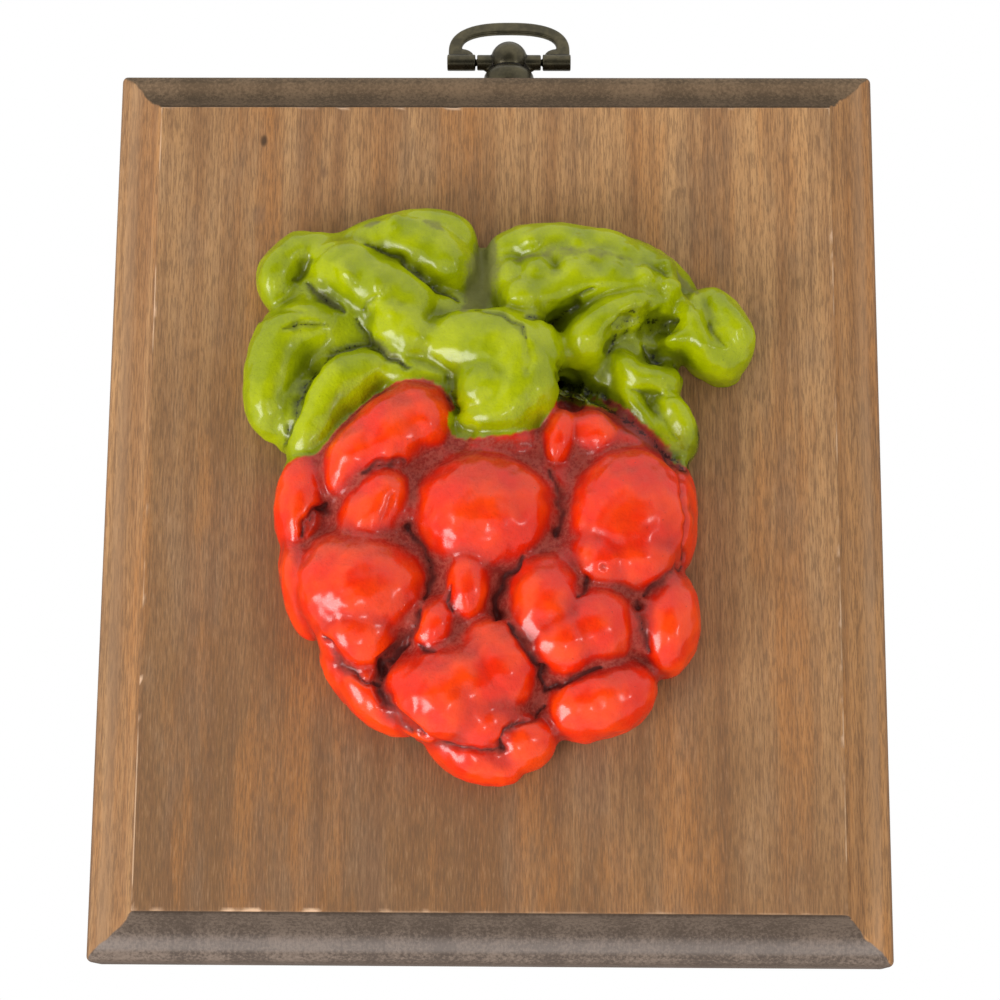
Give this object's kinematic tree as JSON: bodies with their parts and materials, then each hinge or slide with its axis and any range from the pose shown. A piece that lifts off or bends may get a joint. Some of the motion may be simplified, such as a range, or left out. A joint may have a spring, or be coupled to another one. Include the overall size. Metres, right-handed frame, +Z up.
{
  "type": "decorative wall plaque",
  "caption": "Rectangular wooden wall plaque with an ogee moulded edge, a cast and painted berry with two lobed leaves on its face, and a swinging brass bail hanger on its top edge.",
  "frame": {"origin": "centre of the board's flat back, which lies on the wall", "axes": "+Z up, +X to the right seen from the front, +Y into the wall, so the face looks along -Y"},
  "size_m": [0.1526, 0.039, 0.1939],
  "materials": {
    "board_wood": "thin dark walnut stain, worn at the edges of the moulding",
    "painted_cast": "cast plaster with glossy red and yellow-green paint, dark wash in the hollows",
    "antique_brass": "dark antique finish, smooth, slightly worn"
  },
  "bodies": {
    "plaque": {"board": "board_wood", "berry_relief": "painted_cast", "hanger_post": "antique_brass"},
    "bail": {"hanger_bail": "antique_brass"}
  },
  "joints": [
    {"name": "bail_pivot", "type": "hinge", "parent": "plaque", "child": "bail", "pos_m": [0.0026, -0.0054, 0.09475], "axis": [1, 0, 0], "range_deg": [-87, 123]}
  ]
}
